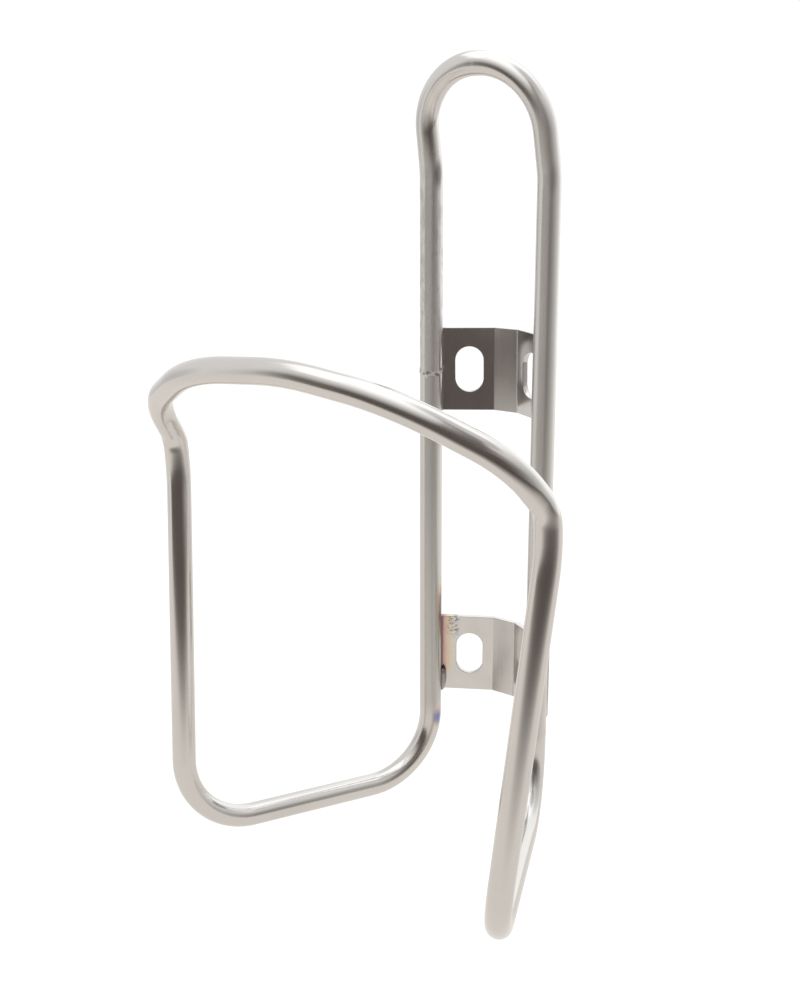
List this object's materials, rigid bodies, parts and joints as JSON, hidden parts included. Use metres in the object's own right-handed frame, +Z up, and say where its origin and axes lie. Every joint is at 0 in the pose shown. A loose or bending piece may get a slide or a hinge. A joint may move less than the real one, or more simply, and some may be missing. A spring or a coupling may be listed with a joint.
{
  "type": "water bottle cage",
  "caption": "Bent round-tube bottle cage: rear arch and uprights, bottom runs, front hoop, and two folded mounting tabs with slots on both flats.",
  "frame": {"origin": "on the plane of symmetry, level with the centrelines of the two rear uprights, halfway between the two mounting tabs", "axes": "+Z up along the uprights, +Y away from the bottle towards the bicycle frame, +X to the right seen from the bottle side"},
  "size_m": [0.0874, 0.0743, 0.1562],
  "materials": {
    "tube_steel": "satin polished stainless tube",
    "tab_steel": "bright rolled stainless sheet",
    "weld_steel": "lightly heat-tinted weld metal"
  },
  "bodies": {
    "root": {"cage_tube": "tube_steel", "butt_weld_bead": "weld_steel", "upper_tab": "tab_steel", "lower_tab": "tab_steel", "upper_tab_left_outer_weld": "weld_steel", "upper_tab_right_outer_weld": "weld_steel", "lower_tab_left_outer_weld": "weld_steel", "lower_tab_left_inner_weld": "weld_steel", "lower_tab_right_outer_weld": "weld_steel", "lower_tab_right_inner_weld": "weld_steel"}
  },
  "joints": []
}
